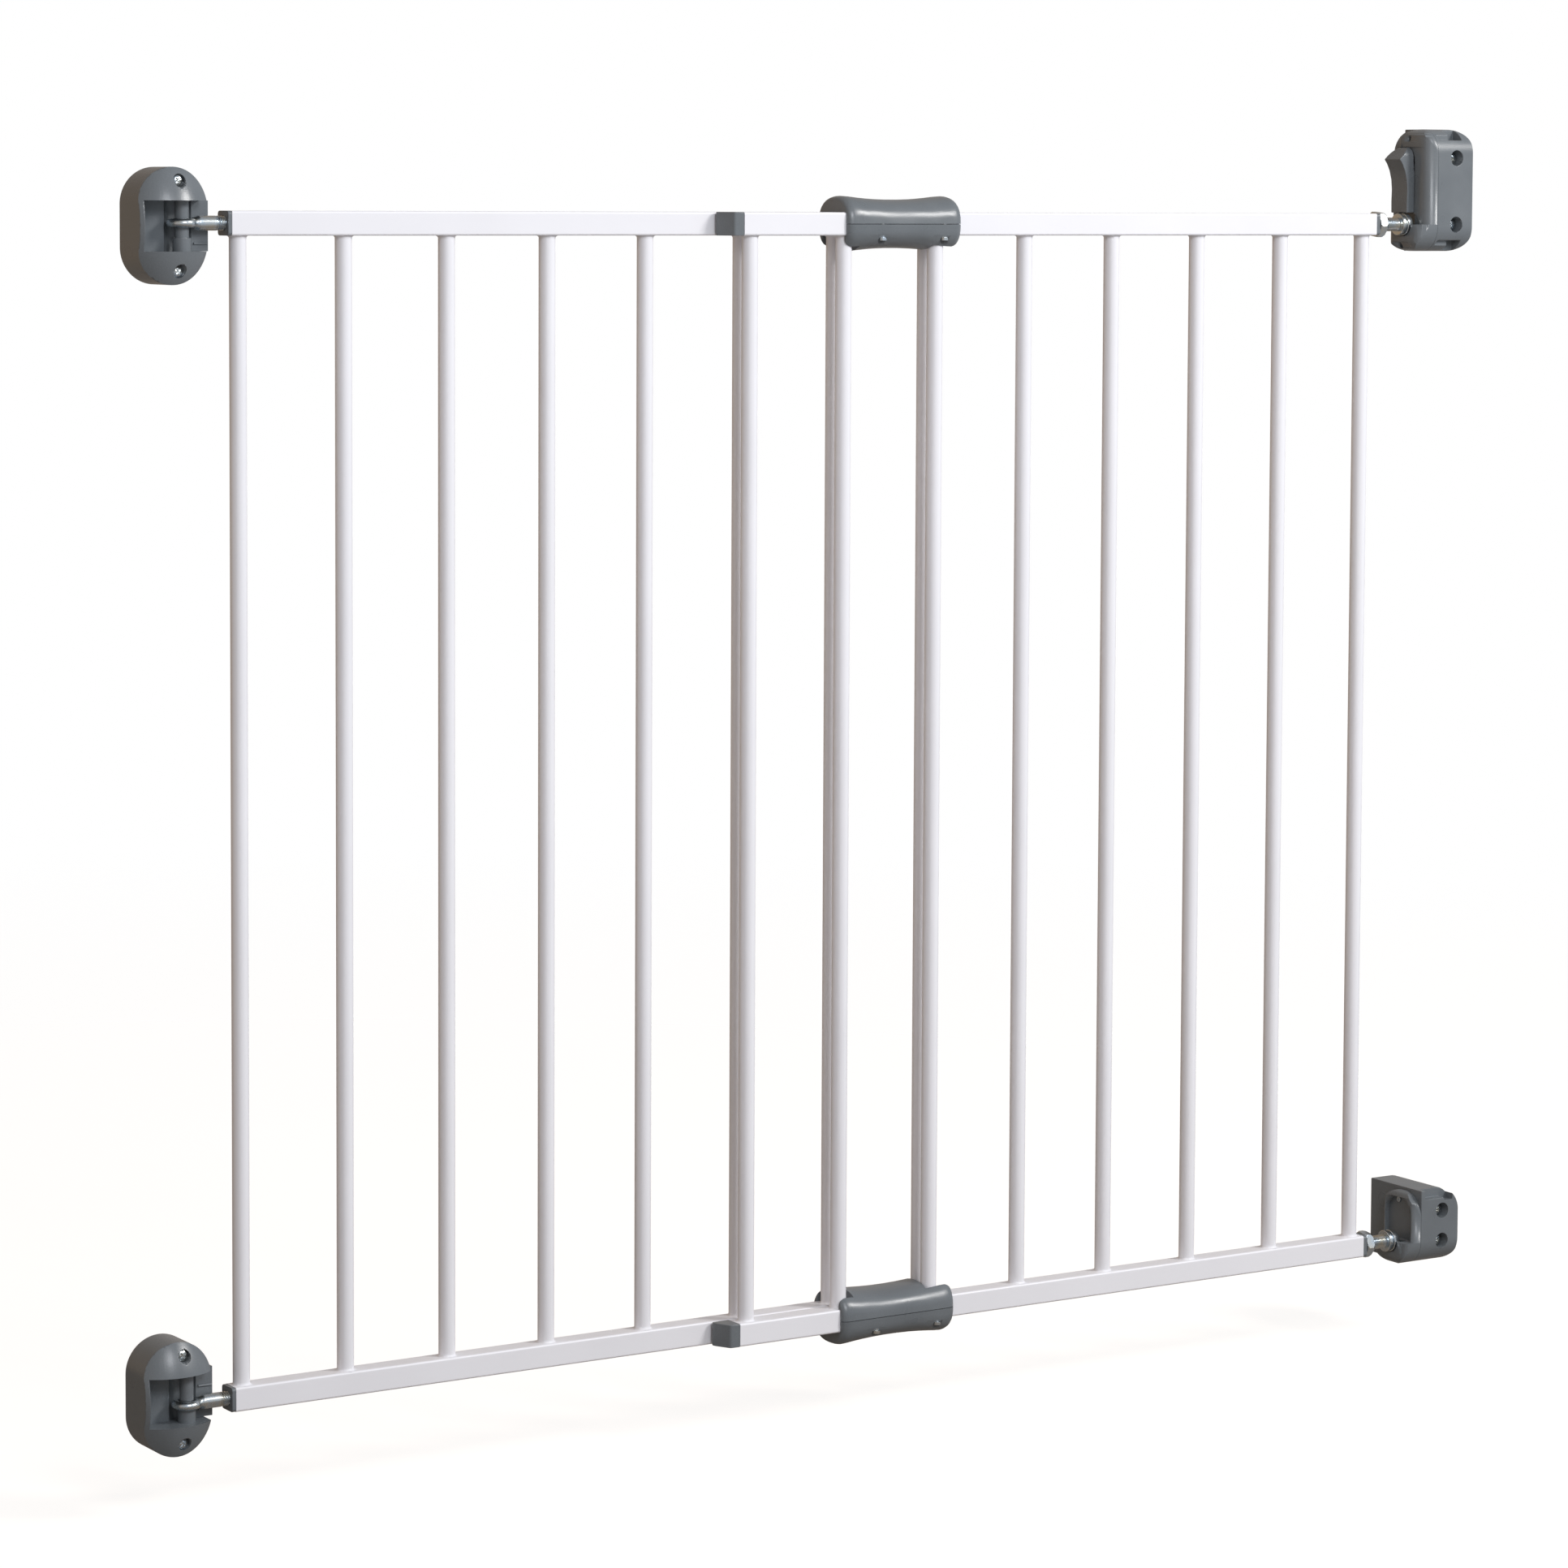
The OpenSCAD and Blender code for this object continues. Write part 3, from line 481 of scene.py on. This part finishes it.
def rounded(node, material, body, radius_mm, angle=32, segments=2):
    mesh = nodes[node].data.copy()
    name = node + "_skin"
    obj = bpy.data.objects.new(name, mesh)
    bpy.context.scene.collection.objects.link(obj)
    skin = bmesh.new()
    skin.from_mesh(mesh)
    bmesh.ops.remove_doubles(skin, verts=skin.verts, dist=MERGE)
    bmesh.ops.dissolve_limit(skin, angle_limit=FLAT, verts=skin.verts, edges=skin.edges)
    skin.to_mesh(mesh)
    skin.free()
    mesh.materials.clear()
    mesh.materials.append(material)
    if radius_mm:
        bevel = obj.modifiers.new("edge", "BEVEL")
        bevel.width, bevel.segments = radius_mm * MM, segments
        bevel.limit_method, bevel.angle_limit = "ANGLE", math.radians(angle)
        bevel.use_clamp_overlap = False
        bevel.miter_outer = "MITER_ARC"
        keep_evaluated(obj)
    obj.data.polygons.foreach_set("use_smooth", [True] * len(obj.data.polygons))
    obj.data.set_sharp_from_angle(angle=math.radians(angle))
    # large faces decide the shading at a corner, so that flats look flat
    obj.modifiers.new("flats", "WEIGHTED_NORMAL").keep_sharp = True
    keep_evaluated(obj)
    seat(obj, body, material, node)
    return obj


BODY_OF = {name: obj["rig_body"] for name, obj in nodes.items()}
EDGE_RADIUS_MM = {
    "hinge_top_housing": 0, "hinge_bottom_housing": 0,
    "latch_top_block": 0.5, "latch_bottom_block": 0.5,
    "latch_top_cover": 0, "latch_bottom_cover": 0, "latch_slider": 0.6,
    "hinge_plug_top": 0.35, "hinge_plug_bottom": 0.35,
    "latch_plug_top": 0.35, "latch_plug_bottom": 0.35,
    "slide_cap_top": 0.5, "slide_cap_bottom": 0.5,
    "joiner_top_upper": 0, "joiner_top_lower": 0,
    "joiner_bottom_upper": 0, "joiner_bottom_lower": 0,
    "hinge_top_pin": 0.3, "hinge_bottom_pin": 0.3}
for node, radius_mm in EDGE_RADIUS_MM.items():
    piece = rounded(node, grey_nylon, BODY_OF[node], radius_mm)
    print(piece.name, "faces:", len(piece.data.polygons))

# %% [markdown]
# ## Nuts and screws
# Hexagon nuts and screws are cold-formed, so their edges are hardly broken. Each flat keeps its
# own shade.

# %% Nuts and screws
nuts = ["lock_nut_top", "lock_nut_bottom"]
screws = ["hinge_top_screws", "hinge_bottom_screws", "latch_top_screws", "latch_bottom_screws",
          "latch_top_cover_screws", "latch_bottom_cover_screws",
          "joiner_top_screws", "joiner_bottom_screws"]
for group, edge_mm, sharp_from in ((nuts, 0.2, 14), (screws, 0.1, 30)):
    for node in group:
        piece = rounded(node, zinc_plate, BODY_OF[node], edge_mm, angle=sharp_from)
        print(piece.name, "faces:", len(piece.data.polygons))
for node in ("eye_top_bush", "eye_bottom_bush"):
    dress(node, bush_nylon)

# %% [markdown]
# ## Threaded studs
# Each latch stud is turned steel with a rolled M10 thread, 1.5 mm from crest to crest. A turned
# part is a profile swept round its axis. The thread is a groove whose phase moves on by one
# pitch for each turn, so it winds along the rod as a real one does.

# %% Turned parts
PITCH = 1.5 * MM
GROOVE = 0.61 * PITCH
AROUND = 64


def groove_at(x, angle, span):
    """Depth of the thread at a place on the rod, running out to nothing at both ends of span."""
    if not span or not span[0] < x < span[1]:
        return 0.0
    phase = (x / PITCH - angle / (2 * math.pi)) % 1.0
    run_out = min(1.0, (x - span[0]) / PITCH, (span[1] - x) / PITCH)
    return GROOVE * run_out * min(1.0, max(0.0, 1.3 * abs(2 * phase - 1) - 0.15))


def turned(name, profile, axis_y, axis_z, span=None):
    """Sweeps (x, radius) points round an axis along X. Radii may be cut by a thread over span."""
    rings = []
    for (x0, r0), (x1, r1) in zip(profile, profile[1:]):
        fine = bool(span) and x0 < span[1] and x1 > span[0]
        cuts = max(1, round((x1 - x0) / (PITCH / 8))) if fine else 1
        rings += [(x0 + (x1 - x0) * i / cuts, r0 + (r1 - r0) * i / cuts) for i in range(cuts)]
    rings.append(profile[-1])
    points, faces = [], []
    for x, radius in rings:
        for i in range(AROUND):
            angle = 2 * math.pi * i / AROUND
            r = radius - groove_at(x, angle, span)
            points.append((x, axis_y + r * math.cos(angle), axis_z + r * math.sin(angle)))
    for k in range(len(rings) - 1):
        for i in range(AROUND):
            a, b = k * AROUND + i, k * AROUND + (i + 1) % AROUND
            faces.append((a, b, b + AROUND, a + AROUND))
    last = (len(rings) - 1) * AROUND
    faces += [tuple(range(AROUND))[::-1], tuple(range(last, last + AROUND))]
    mesh = bpy.data.meshes.new(name)
    mesh.from_pydata(points, [], faces)
    fixed = bmesh.new()
    fixed.from_mesh(mesh)
    bmesh.ops.recalc_face_normals(fixed, faces=fixed.faces)
    fixed.to_mesh(mesh)
    fixed.free()
    mesh.materials.append(zinc_plate)
    mesh.polygons.foreach_set("use_smooth", [True] * len(mesh.polygons))
    mesh.set_sharp_from_angle(angle=math.radians(38))
    obj = bpy.data.objects.new(name, mesh)
    bpy.context.scene.collection.objects.link(obj)
    return obj


# %% Latch studs
ROD_R = 4.75 * MM
NECK_R = 5.9 * MM
HEAD_L = 12.1 * MM
DOME_R = 8.5 * MM
EDGE = 0.4 * MM
NECK_FROM = 2.8 * MM
NECK_TO = 4.1 * MM
STEP = 0.1 * MM
for node in ("stud_top", "stud_bottom"):
    lo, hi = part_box(node)
    head_r = (hi.z - lo.z) / 2
    collar, tip = hi.x - HEAD_L, hi.x
    dome_centre = tip - DOME_R
    shoulder = dome_centre + math.sqrt(DOME_R ** 2 - head_r ** 2)
    first = math.asin(head_r / DOME_R)
    dome = [(dome_centre + DOME_R * math.cos(first * k / 12), DOME_R * math.sin(first * k / 12))
            for k in range(11, -1, -1)]
    dome[-1] = (tip, 0.02 * MM)
    profile = [(lo.x, ROD_R - 2 * EDGE), (lo.x + 2 * EDGE, ROD_R), (collar - 2 * EDGE, ROD_R),
               (collar, ROD_R - EDGE), (collar + 0.01 * MM, head_r - EDGE), (collar + EDGE, head_r),
               (collar + NECK_FROM - EDGE, head_r), (collar + NECK_FROM, head_r - EDGE),
               (collar + NECK_FROM + STEP, NECK_R), (collar + NECK_TO - STEP, NECK_R),
               (collar + NECK_TO, head_r - EDGE), (collar + NECK_TO + EDGE, head_r),
               (shoulder, head_r)] + dome
    stud = turned(node + "_turned", profile, (lo.y + hi.y) / 2, (lo.z + hi.z) / 2,
                  span=(lo.x + 0.5 * MM, collar - EDGE))
    seat(stud, node, zinc_plate, node)
    print(stud.name, "faces:", len(stud.data.polygons))

# %% [markdown]
# ## Eye bolts
# An eye bolt is forged: the eye runs into its shank through a soft neck, so the CAD shape is
# remeshed and smoothed. Where the shank comes near the rail it carries the same M10 thread.
# The smooth shank is thinned there to the bottom of the groove, and the thread lies round it.

# %% Eye bolts
VOXEL = 0.32 * MM
THREAD_SEEN = 5.5 * MM
for node in ("eye_bolt_top", "eye_bolt_bottom"):
    lo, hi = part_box(node)
    axis_z = (lo.z + hi.z) / 2
    axis_y = (lo.y + hi.y) / 2
    shank_r = (hi.z - lo.z) / 2
    thinner = 1 - GROOVE / shank_r
    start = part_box(node.replace("eye_bolt", "hinge_plug"))[0].x - THREAD_SEEN
    bolt = bpy.data.objects.new(node + "_forged", nodes[node].data.copy())
    bpy.context.scene.collection.objects.link(bolt)
    remesh = bolt.modifiers.new("forge", "REMESH")
    remesh.mode, remesh.voxel_size = "VOXEL", VOXEL
    soft = bolt.modifiers.new("soften", "SMOOTH")
    soft.factor, soft.iterations = 0.5, 2
    keep_evaluated(bolt)
    for vertex in bolt.data.vertices:
        if vertex.co.x > start:
            vertex.co.y = axis_y + (vertex.co.y - axis_y) * thinner
            vertex.co.z = axis_z + (vertex.co.z - axis_z) * thinner
    bolt.data.materials.clear()
    bolt.data.materials.append(zinc_plate)
    bolt.data.polygons.foreach_set("use_smooth", [True] * len(bolt.data.polygons))
    seat(bolt, BODY_OF[node], zinc_plate, node)
    sleeve = [(start - EDGE, shank_r - 2 * EDGE), (start, shank_r), (hi.x, shank_r)]
    thread = turned(node + "_thread", sleeve, axis_y, axis_z, span=(start, hi.x + PITCH))
    seat(thread, BODY_OF[node], zinc_plate)
    print(bolt.name, "faces:", len(bolt.data.polygons))
    print(thread.name, "faces:", len(thread.data.polygons))
